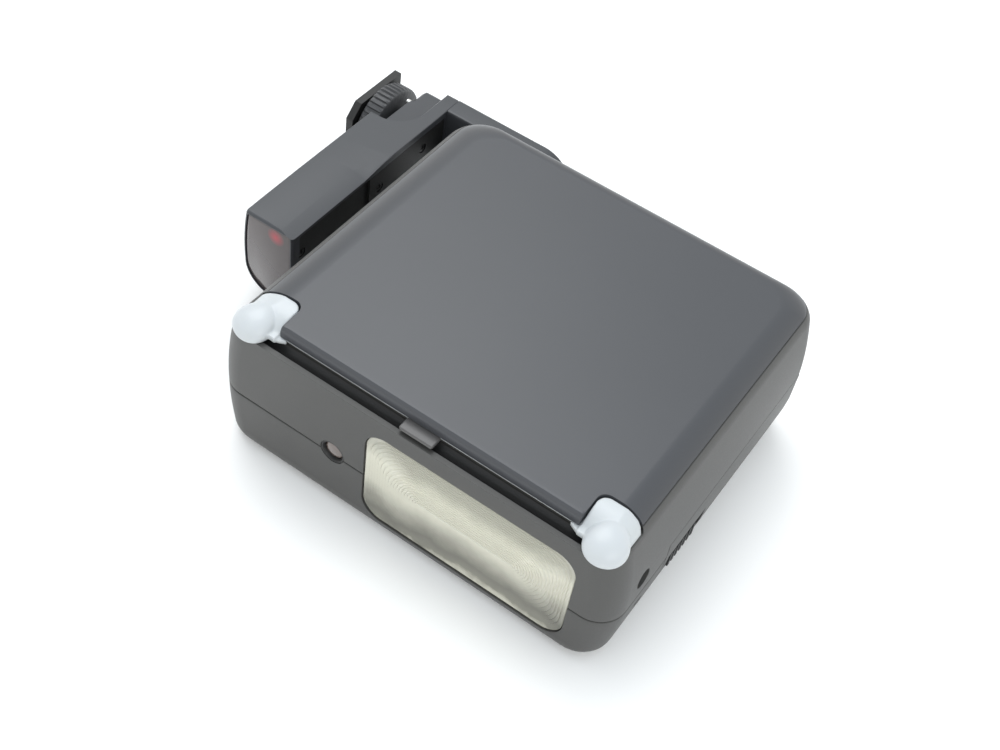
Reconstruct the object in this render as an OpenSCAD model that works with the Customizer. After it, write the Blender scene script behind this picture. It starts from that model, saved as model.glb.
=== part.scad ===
// Speedlight flash with a wide flat head, an L-shaped swivel bracket and a
// locking shoe foot. It lies on the head's underside, lens towards -Y.

/* [Flash head] */
// Width of the head
head_w = 97; // [96:0.5:100]
// Depth of the head, lens face to back
head_d = 85; // [85:0.5:88]
// Height of the head
head_h = 41; // [41:0.5:43]
// Radius of the upright corners
corner_r = 6.5; // [6:0.5:7]
// How far the left side swells out past the bracket's datum
swell = 2; // [1.5:0.1:2]
// Radius of the bulge of the two sides
side_r = 75; // [75:5:120]
// Radius of the top edges
top_r = 7; // [6:0.5:7]
// Radius of the underside edges
under_r = 6; // [5:0.5:6]
// Wall thickness of the shells
wall = 2; // [1.8:0.1:2.2]
// Height of the line where the two shells meet
part_z = 16.7; // [16:0.1:17.5]

/* [Lens] */
// Width of the flash window
lens_w = 50; // [46:1:50]
// Height of the flash window
lens_h = 27.3; // [24:0.1:27.5]

/* [Bounce card] */
// How wide each corner tab is
tab_w = 9.6; // [8:0.1:10]
// Depth of each corner tab
tab_d = 8; // [6:0.5:9]

/* [Batteries] */
// Radius of one cell
cell_r = 7.05; // [6.8:0.05:7.1]
// Length of one cell
cell_l = 50; // [49:0.5:50]

/* [Foot unit] */
// Gap between the head and the long arm
arm_gap = 9.7; // [9.7:0.1:12]
// Width of the long arm
arm_w = 14.9; // [14.5:0.1:16]
// Radius of the lock wheel
wheel_r = 10.9; // [10.5:0.1:11]
// Width of the shoe plate
shoe_w = 18.6; // [18.5:0.1:18.7]

/* [Hidden] */
$fn = 64;

eps = 0.01;
bulge_z = 18;                              // height at which the sides are widest
deck_z = head_h - 4;                       // top of the deck under the bounce card
cover_z = head_h - 2.8;                    // underside of the top cover
lip_y = 2.8;                               // front edge of the top cover
chan_z = deck_z - 0.6;                     // floor of the channel in front of the cover
lens_x = 37.5;
lens_z = 4.5;
sensor_at = [29.4, 17.5];                  // X and Z of the light sensor
socket_at = [11.4, 22.6];                  // Y and Z of the side socket
tray_x = 41;
tray_y = 21.1;
tray_z = 5.6;
tray_t = 0.7;
tray_l = head_w - 3.4 - tray_x;
tray_d = 8 * cell_r + 0.4 + 2 * tray_t;
tray_h = 2 * cell_r + 0.4 + 2 * tray_t;
door_y0 = 22.5;
door_y1 = head_d - 5;
door_z0 = 6;
door_z1 = 21;
door_r = 1.1;                              // radius of the door's hinge barrel
door_t = 2;
hinge_at = [head_w - door_t, door_z0 + door_r];
panel_x = 34;
panel_z = 6.5;
panel_w = 54;
panel_h = 28;
key_w = 7;
key_h = 4.2;
key_xs = [41, 51, 61, 71];
key_z = 11;
travel_gap = 0.15;
boss_at = [[8, 8], [head_w - 8.5, 7.5], [7.5, head_d - 10], [31, head_d - 9]];
boss_r = 2.8;
swivel_at = [15.9, 19.5];                  // X and Z of the swivel axis
swivel_r = 4;
arm_x1 = -arm_gap;                         // inner face of the long arm
arm_x0 = arm_x1 - arm_w;                   // outer face of the long arm
arm_z0 = 4;
arm_z1 = 28;
arm_y0 = 34;
arm_y1 = head_d + 13;
back_y0 = head_d + 7.2;                    // inner face of the back arm
back_t = arm_y1 - back_y0;
back_r = 8.5;
pin_at = [20.5, back_y0 + back_t / 2];     // X and Y of the tilt pin
fork_z0 = 15.1;
fork_z1 = 23.9;
cheek_z = 20;                              // top of the cheek beside the lock wheel
scoop_x = -13.5;                           // inner edge of the finger scoop
scoop_y = 80;                              // front edge of the finger scoop
wheel_at = [head_d + 9.5, 11.2];           // Y and Z of the lock wheel's axis
wheel_x0 = arm_x0 - 7;
wheel_t = 5;
stem_r = 5.5;
pin_y = wheel_at[0] + 3.5;                 // Y of the stop pin
pin_z = 18.6;
cover_at = [[38, 20], [66, 21], [83, 22]]; // Y and Z of the inner cover's screws
shoe_x0 = wheel_x0 - 2.5;
shoe_t = 2;
shoe_l = 20;
centre_x = (head_w + shoe_x0) / 2;
knob_front = -1.2;                         // how far the card's knobs stand out in front
centre_y = (wheel_at[0] + wheel_r + knob_front) / 2;

// Moves the model's corner frame to the middle of its footprint
module place() {
    translate([-centre_x, -centre_y, 0]) children();
}

// Rectangle with its own radius at the bottom and the top corners
module soft_rect(w, h, rb, rt) {
    translate([rb, 0]) square([w - 2 * rb, rb + eps]);
    translate([0, rb]) square([w, h - rb - rt]);
    translate([rt, h - rt - eps]) square([w - 2 * rt, rt + eps]);
    for (x = [rb, w - rb]) translate([x, rb]) circle(rb);
    for (x = [rt, w - rt]) translate([x, h - rt]) circle(rt);
}

// Extrudes an outline drawn in X and Z along +Y
module along_y(y0, y1) {
    translate([0, y1, 0]) rotate([90, 0, 0]) linear_extrude(y1 - y0) children();
}

// Extrudes an outline drawn in Y and Z along +X
module along_x(x0, x1) {
    translate([x0, 0, 0]) rotate([90, 0, 90]) linear_extrude(x1 - x0) children();
}

module rod_y(x, z, y0, y1, r) {
    along_y(y0, y1) translate([x, z]) circle(r);
}

module rod_x(y, z, x0, x1, r) {
    along_x(x0, x1) translate([y, z]) circle(r);
}

module rod_z(x, y, z0, z1, r) {
    translate([x, y, z0]) cylinder(h = z1 - z0, r = r);
}

module box(x0, x1, y0, y1, z0, z1) {
    translate([x0, y0, z0]) cube([x1 - x0, y1 - y0, z1 - z0]);
}

// Outer form of the head, soft on every edge
module head_form() {
    intersection() {
        translate([-swell, 0, 0]) linear_extrude(head_h)
            soft_rect(head_w + swell, head_d, corner_r, corner_r);
        along_y(0, head_d) intersection() {
            translate([-swell, 0]) soft_rect(head_w + swell, head_h, under_r, top_r);
            translate([side_r - swell, bulge_z]) circle(side_r, $fn = 200);
            translate([head_w - side_r, bulge_z]) circle(side_r, $fn = 200);
        }
        along_x(-swell, head_w) soft_rect(head_d, head_h, 5, 6);
    }
}

module lens_outline(gap) {
    translate([lens_x - gap, lens_z - gap])
        soft_rect(lens_w + 2 * gap, lens_h + 2 * gap, 5 + gap, 5 + gap);
}

module panel_outline(gap) {
    translate([panel_x - gap, panel_z - gap])
        soft_rect(panel_w + 2 * gap, panel_h + 2 * gap, 2, 2);
}

// Everything that both shells leave open
module head_openings() {
    along_y(-1, wall + 1) lens_outline(0.1);
    along_y(head_d - wall - 1, head_d + 1) panel_outline(0.1);
    rod_y(sensor_at[0], sensor_at[1], -1, wall + 1, 3.05);
    rod_y(swivel_at[0], swivel_at[1], head_d - 7, head_d + 1, swivel_r + 0.05);
    box(hinge_at[0] - 1.3, head_w + 1, door_y0 - 0.3, door_y1 + 0.3,
        hinge_at[1] - door_t - 0.3, door_z1 + 0.2);
    rod_y(hinge_at[0], hinge_at[1], door_y0 - 1.5, door_y1 + 0.6, 0.62);
}

module head_cavity() {
    box(wall, head_w - 2 * wall, wall, head_d - wall, wall + 0.5, deck_z - 1.5);
    box(wall, head_w - wall, wall, head_d - wall, 9, 27);
    box(tray_x - 0.3, hinge_at[0] - 1.2, tray_y - 0.3, tray_y + tray_d + 0.3, tray_z - 0.2, 25);
}

module lower_shell() {
    color("dimgray") place() difference() {
        intersection() {
            union() {
                difference() {
                    head_form();
                    head_cavity();
                }
                for (p = boss_at) rod_z(p[0], p[1], 1, part_z, boss_r);
            }
            box(-5, head_w + 1, -1, head_d + 1, -1, part_z);
        }
        head_openings();
        for (p = boss_at) {
            rod_z(p[0], p[1], -1, 2.2, 2.1);
            rod_z(p[0], p[1], 2, part_z + 1, 1.1);
        }
        box(head_w - 1, head_w + 1, 11.5, 14.5, 11.4, 12.4);
    }
}

module upper_shell() {
    color("dimgray") place() difference() {
        intersection() {
            union() {
                difference() {
                    head_form();
                    head_cavity();
                }
                for (p = boss_at) rod_z(p[0], p[1], part_z, deck_z - 1, boss_r);
            }
            box(-5, head_w + 1, -1, head_d + 1, part_z, cover_z);
        }
        head_openings();
        for (p = boss_at) rod_z(p[0], p[1], part_z - 1, 24, 1);
        box(-5, head_w + 1, -1, lip_y, chan_z, head_h);
        box(3, head_w - 5.2, -1, head_d - 11, deck_z, head_h);
        for (x = [3, head_w - 3 - tab_w])
            translate([0, 0, deck_z]) linear_extrude(6) tab_outline(x, 0.35);
        rod_x(socket_at[0], socket_at[1], head_w - 3, head_w + 1, 2.25);
    }
}

// Corner tab outline, with a gap all round
module tab_outline(x0, gap) {
    translate([x0 - gap, lip_y - 1]) soft_rect(tab_w + 2 * gap, tab_d + 1 + gap, 0.5, 2);
}

module top_cover() {
    color("slategray") place() difference() {
        intersection() {
            head_form();
            box(-5, head_w + 1, lip_y, head_d + 1, cover_z, head_h + 1);
        }
        for (x = [3, head_w - 3 - tab_w])
            translate([0, 0, cover_z - 1]) linear_extrude(6) tab_outline(x, 0.35);
    }
}

// Egg-shaped knob in front of a tab, wide only where it is clear of the shell
module card_knob(x, tab_x) {
    intersection() {
        hull() {
            translate([tab_x + tab_w / 2, 6, head_h - 2.8]) sphere(2.8, $fn = 32);
            translate([x, knob_front + 4.4, head_h - 4.4]) sphere(4.4, $fn = 32);
        }
        union() {
            box(-1, head_w + 1, -5, lip_y - 0.1, chan_z + 0.1, head_h);
            translate([0, 0, deck_z + 0.1]) linear_extrude(3.9) tab_outline(tab_x, 0);
        }
    }
}

// Sliding white card, with a raised tab and a knob at each front corner
module bounce_card() {
    color("white") place() union() {
        box(3.3, head_w - 5.5, lip_y + 0.1, head_d - 12, deck_z + 0.1, cover_z - 0.1);
        box(head_w / 2 - 4, head_w / 2 + 4, 0.6, lip_y + 0.2, deck_z + 0.1, deck_z + 0.9);
        for (x = [3, head_w - 3 - tab_w]) intersection() {
            head_form();
            translate([0, 0, deck_z + 0.1]) linear_extrude(3.8) tab_outline(x, 0);
        }
        card_knob(5, 3);
        card_knob(head_w - 5, head_w - 3 - tab_w);
    }
}

module flash_lens() {
    color("antiquewhite") place() intersection() {
        along_y(0.1, wall) lens_outline(0);
        head_form();
    }
}

// Trough reflector with closed ends, open towards the lens
module reflector() {
    color("silver") place() difference() {
        box(42.5, 82.5, 3, 14.4, 8, 28);
        rod_x(4, 18, 43.3, 81.7, 9.6);
        box(43.3, 81.7, 2, 4, 8.4, 27.6);
        rod_x(10.3, 18, 40, 85, 1.7);
    }
}

module flash_tube() {
    color("lightcyan") place() rod_x(10.3, 18, 40.6, 84.4, 1.6);
}

module zoom_carriage() {
    color("black") place() difference() {
        union() {
            box(41, 84, 3, 14.4, 28.05, 29.8);
            box(59, 65, 4, 9, 29.7, 34.2);
            box(41, 42.4, 5, 14.4, 10, 28.1);
            box(82.6, 84, 5, 14.4, 10, 28.1);
        }
        rod_y(62, 32, 3, 10, 1.05);
        rod_x(10.3, 18, 40, 85, 1.75);
    }
}

module lead_screw() {
    color("silver") place() rod_y(62, 32, 2.8, 23, 1);
}

module zoom_motor() {
    color("gray") place() rod_y(62, 32, 23.1, 35, 2.9);
}

module sensor_bezel() {
    color("black") place() difference() {
        rod_y(sensor_at[0], sensor_at[1], 0.1, wall, 3);
        rod_y(sensor_at[0], sensor_at[1], -1, wall + 1, 2.35);
    }
}

module sensor_window() {
    color("rosybrown") place() rod_y(sensor_at[0], sensor_at[1], 0.4, wall, 2.3);
}

module light_sensor() {
    color("black") place() rod_y(sensor_at[0], sensor_at[1], wall + 0.1, 5, 2);
}

module side_socket() {
    color("black") place() difference() {
        rod_x(socket_at[0], socket_at[1], head_w - 5.4, head_w - wall - 0.1, 2.5);
        rod_x(socket_at[0], socket_at[1], head_w - 4.8, head_w, 1.75);
    }
}

module main_capacitor() {
    color("black") place() rod_y(14, 16, 12, 68, 10.8);
}

module main_board() {
    color("darkgreen") place() box(27, 92, 37, head_d - 13, 23.5, 25.1);
}

module transformer() {
    color("goldenrod") place() box(30, 43, 41, 54, 25.2, 34);
}

module battery_tray() {
    color("black") place() difference() {
        box(tray_x, tray_x + tray_l, tray_y, tray_y + tray_d, tray_z, tray_z + tray_h);
        box(tray_x + 1, head_w, tray_y + tray_t, tray_y + tray_d - tray_t,
            tray_z + tray_t, tray_z + tray_h - tray_t);
    }
}

module battery_cells() {
    color("royalblue") place() for (i = [0:3])
        rod_x(tray_y + tray_t + 0.2 + cell_r * (2 * i + 1), tray_z + tray_h / 2,
            tray_x + 2.6, tray_x + 2.6 + cell_l, cell_r - 0.05);
}

module cell_contacts() {
    color("silver") place() for (i = [0:3])
        rod_x(tray_y + tray_t + 0.2 + cell_r * (2 * i + 1), tray_z + tray_h / 2,
            tray_x + 1.05, tray_x + 2.55, 3.2);
}

module battery_door() {
    color("dimgray") place() difference() {
        intersection() {
            head_form();
            union() {
                box(head_w - door_t, head_w + 1, door_y0, door_y1, hinge_at[1], door_z1);
                rod_y(hinge_at[0], hinge_at[1], door_y0, door_y1, door_r);
            }
        }
        rod_y(hinge_at[0], hinge_at[1], door_y0 - 1, door_y1 + 1, 0.65);
        box(head_w - 1.1, head_w + 1, 24.6, 40, 9.6, 14.4);
    }
}

module door_pin() {
    color("silver") place() rod_y(hinge_at[0], hinge_at[1], door_y0 - 1.4, door_y1 + 0.5, 0.6);
}

// Ribbed thumb slide that frees the door
module door_latch() {
    color("black") place() union() {
        box(head_w - 1, head_w - 0.4, 25, 37, 9.8, 14.2);
        for (y = [25.4:1.6:36]) box(head_w - 0.5, head_w, y, y + 0.8, 9.8, 14.2);
    }
}

module back_panel() {
    color("black") place() difference() {
        intersection() {
            along_y(head_d - wall, head_d) panel_outline(0);
            head_form();
        }
        for (x = key_xs) box(x - key_w / 2 - travel_gap, x + key_w / 2 + travel_gap,
            head_d - 3, head_d + 1, key_z - key_h / 2 - travel_gap, key_z + key_h / 2 + travel_gap);
        box(38.9, 68.1, head_d - 1.2, head_d + 1, 19.9, 32.1);
        box(41, 66, head_d - 3, head_d + 1, 21.5, 30.5);
        rod_y(78, 27, head_d - 3, head_d + 1, 3.65);
        rod_y(78, 19.5, head_d - 3, head_d + 1, 1.3);
        box(77, 86, head_d - 3, head_d + 1, 9.4, 12.6);
    }
}

module lcd_window() {
    color("lightsteelblue") place() box(39, 68, head_d - 1.15, head_d - 0.05, 20, 32);
}

module lcd_module() {
    color("darkseagreen") place() box(38, 69, head_d - 3.6, head_d - wall - 0.1, 19.2, 32.8);
}

module switch_board() {
    color("darkgreen") place() box(36, 87, head_d - 5, head_d - 4.2, 8, 33);
}

// Key cap with a flange that keeps it behind the panel
module key(x) {
    color("gainsboro") place() union() {
        box(x - key_w / 2 - 0.7, x + key_w / 2 + 0.7, head_d - 2.9, head_d - wall - 0.1,
            key_z - key_h / 2 - 0.7, key_z + key_h / 2 + 0.7);
        box(x - key_w / 2, x + key_w / 2, head_d - 2.5, head_d + 0.5,
            key_z - key_h / 2, key_z + key_h / 2);
    }
}

module mode_button() { key(key_xs[0]); }
module zoom_button() { key(key_xs[1]); }
module select_button() { key(key_xs[2]); }
module light_button() { key(key_xs[3]); }

module test_button() {
    color("darkorange") place() union() {
        rod_y(78, 27, head_d - 2.9, head_d - wall - 0.1, 4.3);
        rod_y(78, 27, head_d - 2.5, head_d + 0.5, 3.5);
    }
}

module ready_lamp() {
    color("orangered") place() rod_y(78, 19.5, head_d - 3.6, head_d - 0.1, 1.25);
}

module power_switch() {
    color("gainsboro") place() union() {
        box(76, 83, head_d - 2.7, head_d - wall - 0.1, 8.6, 13.4);
        box(77.2, 81.2, head_d - 2.5, head_d + 0.5, 9.6, 12.4);
    }
}

module shell_screws() {
    color("silver") place() for (p = boss_at) {
        rod_z(p[0], p[1], 1, 2.15, 1.9);
        rod_z(p[0], p[1], 2.1, 22, 0.95);
    }
}

module swivel_washer() {
    color("silver") place() difference() {
        rod_y(swivel_at[0], swivel_at[1], head_d - 4.2, head_d - wall - 0.1, 7);
        rod_y(swivel_at[0], swivel_at[1], head_d - 6, head_d, swivel_r + 0.05);
    }
}

module swivel_nut() {
    color("silver") place() difference() {
        rod_y(swivel_at[0], swivel_at[1], head_d - 6.4, head_d - 4.3, 6.3);
        rod_y(swivel_at[0], swivel_at[1], head_d - 8, head_d, swivel_r);
    }
}

module swivel_shaft() {
    color("silver") place() rod_y(swivel_at[0], swivel_at[1], head_d - 6.4, head_d + 0.5, swivel_r);
}

// Block in the gap behind the head, with the tilt hinge's middle knuckle
module hinge_block() {
    color("black") place() difference() {
        union() {
            rod_y(swivel_at[0], swivel_at[1], head_d + 0.5, back_y0 - 0.5, 7.4);
            box(pin_at[0] - 5, pin_at[0] + 2.7, head_d + 1, pin_at[1] - 1.3, fork_z0 + 0.2, fork_z1 - 0.2);
            rod_z(pin_at[0], pin_at[1], fork_z0 + 0.2, fork_z1 - 0.2, back_t / 2 - 0.1);
        }
        rod_z(pin_at[0], pin_at[1], fork_z0 - 1, fork_z1 + 1, 1.25);
    }
}

module tilt_pin() {
    color("silver") place() rod_z(pin_at[0], pin_at[1], 13, 26, 1.2);
}

// Section of the long arm: flat inside, bulged outside, soft underneath
module arm_section(gap) {
    bulge_r = 66;
    intersection() {
        translate([arm_x0 + gap, arm_z0 + gap])
            soft_rect(arm_w + 12 - gap, arm_z1 - arm_z0 - 2 * gap, 8 - gap, 1.5);
        translate([arm_x0 + bulge_r, 16]) circle(bulge_r - gap, $fn = 200);
        translate([arm_x0, arm_z0]) square([arm_w - gap, arm_z1 - arm_z0]);
    }
}

module arm_housing() {
    color("dimgray") place() difference() {
        union() {
            along_y(arm_y0, arm_y1) arm_section(0);
            box(arm_x0 + 0.5, arm_x0 + 10.5, arm_y1 - 1, head_d + 18.8, 5, cheek_z);
        }
        difference() {
            along_y(arm_y0 + 1.4, head_d - 3) arm_section(1.6);
            for (p = cover_at) rod_x(p[0], p[1], arm_x0, arm_x1, 1.7);
        }
        for (p = cover_at) rod_x(p[0], p[1], arm_x1 - 5.5, arm_x1, 0.72);
        along_y(arm_y0 - 1, arm_y0 + 2) arm_section(0.7);
        box(arm_x1 - 1.6, arm_x1 + 1, arm_y0 + 2.5, back_y0 - 0.7, 5.5, 26.2);
        along_y(arm_y0 - 1, 62) polygon([[arm_x1 - 4, arm_z1 + eps], [arm_x1 + eps, arm_z1 + eps],
            [arm_x1 + eps, arm_z1 - 1.1]]);
        translate([arm_x0 - 10, scoop_y, cheek_z]) linear_extrude(10)
            soft_rect(scoop_x - arm_x0 + 10, 40, 6, 6);
        rod_x(wheel_at[0], wheel_at[1], arm_x0 - 1, arm_x0 + 3.1, stem_r + 0.1);
        rod_x(pin_y, pin_z, arm_x0 - 1, arm_x0 + 5, 0.82);
    }
}

module back_arm() {
    color("dimgray") place() difference() {
        intersection() {
            union() {
                box(arm_x1, pin_at[0], back_y0, arm_y1, 0, arm_z1 + 1);
                rod_z(pin_at[0], pin_at[1], 0, arm_z1 + 1, back_t / 2);
            }
            along_y(back_y0, arm_y1) union() {
                translate([arm_x1, swivel_at[1] - back_r])
                    square([swivel_at[0] - arm_x1, 2 * back_r]);
                translate([swivel_at[0], swivel_at[1]]) circle(back_r);
            }
        }
        box(pin_at[0] - 5.4, pin_at[0] + 5, back_y0 - 1, arm_y1 + 1, fork_z0, fork_z1);
        rod_z(pin_at[0], pin_at[1], 0, arm_z1 + 1, 1.25);
    }
}

module inner_cover() {
    color("black") place() difference() {
        union() {
            box(arm_x1 - 1.5, arm_x1 - 0.6, arm_y0 + 2.6, 62, 5.6, 26.1);
            box(arm_x1 - 1.5, arm_x1, 62, back_y0 - 0.8, 5.6, 26.1);
        }
        for (p = cover_at) {
            rod_x(p[0], p[1], arm_x1 - 3, arm_x1 + 1, 0.75);
            rod_x(p[0], p[1], arm_x1 - 1, arm_x1 + 1, 1.3);
        }
    }
}

module cover_screws() {
    color("silver") place() for (p = cover_at) {
        rod_x(p[0], p[1], arm_x1 - 1, arm_x1 - 0.65, 1.2);
        rod_x(p[0], p[1], arm_x1 - 5, arm_x1 - 0.95, 0.7);
    }
}

module assist_window() {
    color("rosybrown") place() along_y(arm_y0 + 0.1, arm_y0 + 1.9) arm_section(0.8);
}

module assist_lamp() {
    color("red") place() rod_y(arm_x1 - 7, 18, arm_y0 + 6.2, arm_y0 + 11, 2.5);
}

module lamp_board() {
    color("darkgreen") place() box(arm_x1 - 12, arm_x1 - 3, arm_y0 + 11.1, arm_y0 + 12.3, 9, 24);
}

// Knurled wheel that presses the shoe plate into place
module lock_wheel() {
    color("black") place() difference() {
        rod_x(wheel_at[0], wheel_at[1], wheel_x0, wheel_x0 + wheel_t, wheel_r);
        rod_x(wheel_at[0], wheel_at[1], wheel_x0 - 1, wheel_x0 + wheel_t + 1, stem_r + 0.06);
        for (a = [0:9:359]) translate([0, wheel_at[0], wheel_at[1]]) rotate([a, 0, 0])
            translate([wheel_x0 - 1, wheel_r - 0.5, -0.45]) cube([wheel_t + 2, 2, 0.9]);
    }
}

module stop_pin() {
    color("silver") place()
        rod_x(pin_y, pin_z, arm_x0 - 0.8, arm_x0 + 4.9, 0.8);
}

module lock_pin() {
    color("silver") place() rod_x(wheel_at[0] - 7.5, wheel_at[1], shoe_x0, shoe_x0 + 2.4, 0.9);
}

module shoe_foot() {
    color("black") place() difference() {
        union() {
            along_x(shoe_x0, shoe_x0 + shoe_t)
                translate([wheel_at[0] - 10.5, wheel_at[1] - shoe_w / 2])
                polygon([[3.5, 0], [shoe_l, 0], [shoe_l, shoe_w], [3.5, shoe_w],
                    [0, shoe_w - 3.5], [0, 3.5]]);
            rod_x(wheel_at[0], wheel_at[1], shoe_x0 + 1, arm_x0 + 3, stem_r);
        }
        rod_x(wheel_at[0] - 7.5, wheel_at[1], shoe_x0 - 1, shoe_x0 + shoe_t + 1, 0.95);
        for (p = [[0, 0], [-4, 4], [4, 4], [4, -4]])
            rod_x(wheel_at[0] + p[0], wheel_at[1] + p[1], shoe_x0 - 1, shoe_x0 + 0.9, 1.25);
    }
}

module shoe_contacts() {
    color("gold") place() for (p = [[0, 0], [-4, 4], [4, 4], [4, -4]])
        rod_x(wheel_at[0] + p[0], wheel_at[1] + p[1], shoe_x0, shoe_x0 + 0.85, 1.2);
}

lower_shell();
upper_shell();
top_cover();
bounce_card();
flash_lens();
reflector();
flash_tube();
zoom_carriage();
lead_screw();
zoom_motor();
sensor_bezel();
sensor_window();
light_sensor();
side_socket();
main_capacitor();
main_board();
transformer();
battery_tray();
battery_cells();
cell_contacts();
battery_door();
door_pin();
door_latch();
back_panel();
lcd_window();
lcd_module();
switch_board();
mode_button();
zoom_button();
select_button();
light_button();
test_button();
ready_lamp();
power_switch();
shell_screws();
swivel_washer();
swivel_nut();
swivel_shaft();
hinge_block();
tilt_pin();
arm_housing();
back_arm();
inner_cover();
cover_screws();
assist_window();
assist_lamp();
lamp_board();
lock_wheel();
stop_pin();
lock_pin();
shoe_foot();
shoe_contacts();
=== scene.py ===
import math
import bpy
import numpy as np
from mathutils import Matrix, Vector


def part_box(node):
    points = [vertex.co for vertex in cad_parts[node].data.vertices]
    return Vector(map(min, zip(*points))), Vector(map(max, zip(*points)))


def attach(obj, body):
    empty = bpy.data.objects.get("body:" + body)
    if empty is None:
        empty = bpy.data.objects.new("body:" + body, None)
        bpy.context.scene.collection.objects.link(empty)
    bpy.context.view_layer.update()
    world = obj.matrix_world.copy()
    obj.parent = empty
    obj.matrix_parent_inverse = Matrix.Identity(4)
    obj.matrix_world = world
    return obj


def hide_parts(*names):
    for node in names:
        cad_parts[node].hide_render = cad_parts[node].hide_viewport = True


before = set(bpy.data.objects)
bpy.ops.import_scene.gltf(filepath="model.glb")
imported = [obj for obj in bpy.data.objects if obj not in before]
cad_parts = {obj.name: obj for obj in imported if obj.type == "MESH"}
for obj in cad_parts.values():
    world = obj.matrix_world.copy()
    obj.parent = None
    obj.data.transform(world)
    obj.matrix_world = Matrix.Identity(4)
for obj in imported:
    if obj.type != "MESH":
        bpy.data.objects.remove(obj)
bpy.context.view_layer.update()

mm = 0.001
sharpAngle = 40                                         # degrees, past which an edge looks hard
headCorner = np.array([*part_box("upper_shell")[0][:2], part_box("lower_shell")[0][2]])
headCorner += [2 * mm, 0, 0]                            # the left wall swells out 2 mm past this corner
headTop = np.array(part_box("top_cover")[1])


def place(points):
    # a point in millimetres from the head's corner becomes a point of the frame, in metres
    return headCorner + np.asarray(points, float) * mm


def span(node):
    # a node's lowest and highest corners, in millimetres from the head's corner
    low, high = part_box(node)
    return (np.array(low) - headCorner) / mm, (np.array(high) - headCorner) / mm


headW, headD = (np.array(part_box("upper_shell")[1]) - headCorner)[:2] / mm
headH = (headTop - headCorner)[2] / mm

# meshes

def newObject(name, verts, faces):
    mesh = bpy.data.meshes.new(name)
    mesh.from_pydata(place(verts).tolist(), [], faces)
    mesh.validate()
    mesh.update()
    mesh.polygons.foreach_set("use_smooth", np.ones(len(mesh.polygons), bool))
    obj = bpy.data.objects.new(name, mesh)
    bpy.context.scene.collection.objects.link(obj)
    return obj


def gridFaces(rings, points):
    # quads between ring k and ring k+1, closed around each ring
    k, i = np.meshgrid(np.arange(rings - 1), np.arange(points), indexing="ij")
    j = (i + 1) % points
    quads = np.stack([k * points + i, k * points + j, (k + 1) * points + j, (k + 1) * points + i], -1)
    return quads.reshape(-1, 4).tolist()


def softRing(halfX, halfY, radius, perCorner=9):
    # rounded rectangle: four quarter circles of one radius joined by straight sides
    turn = np.linspace(0, math.pi / 2, perCorner)
    corners = []
    for quarter, (sx, sy) in enumerate([(1, 1), (-1, 1), (-1, -1), (1, -1)]):
        angle = turn + quarter * math.pi / 2
        corners.append(np.stack([sx * (halfX - radius) + radius * np.cos(angle),
                                 sy * (halfY - radius) + radius * np.sin(angle)], 1))
    return np.concatenate(corners)


def stack(name, rings, heights, axis="z", closeEnds=True):
    # rings[k] is an outline in a plane, heights[k] its place along the axis
    rings = np.asarray(rings, float)
    count, points = rings.shape[:2]
    h = np.repeat(np.asarray(heights, float)[:, None], points, 1)
    a, b = rings[..., 0], rings[..., 1]
    parts = {"z": (a, b, h), "y": (a, h, b), "x": (h, a, b)}[axis]
    verts = np.stack(parts, -1).reshape(-1, 3)
    faces = gridFaces(count, points)
    if closeEnds:
        faces.append(list(range(points))[::-1])
        faces.append(list(range((count - 1) * points, count * points)))
    if axis == "y":
        faces = [f[::-1] for f in faces]
    obj = newObject(name, verts, faces)
    if signedVolume(obj) < 0:
        obj.data.flip_normals()
    return obj


def signedVolume(obj):
    # sum of a.(b x c)/6 over the triangles, positive when the faces point outwards
    mesh = obj.data
    mesh.calc_loop_triangles()
    co = np.empty(len(mesh.vertices) * 3)
    mesh.vertices.foreach_get("co", co)
    tri = np.empty(len(mesh.loop_triangles) * 3, int)
    mesh.loop_triangles.foreach_get("vertices", tri)
    a, b, c = co.reshape(-1, 3)[tri.reshape(-1, 3)].transpose(1, 0, 2)
    return float(np.einsum("ij,ij->i", a, np.cross(b, c)).sum() / 6)


def carve(obj, cutters, operation="DIFFERENCE"):
    # the cutters are used up
    for cutter in cutters:
        step = obj.modifiers.new("cut", "BOOLEAN")
        step.operation = operation
        step.solver = "EXACT"
        step.object = cutter
    bake(obj)
    for cutter in cutters:
        bpy.data.objects.remove(cutter)
    return obj


def bake(obj):
    # the mesh becomes what its modifiers made of it
    bpy.context.view_layer.update()
    evaluated = obj.evaluated_get(bpy.context.evaluated_depsgraph_get())
    mesh = bpy.data.meshes.new_from_object(evaluated)
    obj.modifiers.clear()
    old = obj.data
    obj.data = mesh
    mesh.name = obj.name
    bpy.data.meshes.remove(old)


def soften(obj, width=0.15, angle=38, segments=2):
    # a fine rounded edge wherever two faces meet sharply
    step = obj.modifiers.new("edge", "BEVEL")
    step.width = width * mm
    step.segments = segments
    step.limit_method = "ANGLE"
    step.angle_limit = math.radians(angle)
    step.use_clamp_overlap = True
    step.harden_normals = False
    obj.data.polygons.foreach_set("use_smooth", np.ones(len(obj.data.polygons), bool))
    weigh = obj.modifiers.new("flat", "WEIGHTED_NORMAL")
    weigh.keep_sharp = True
    weigh.weight = 80
    return obj


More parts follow.
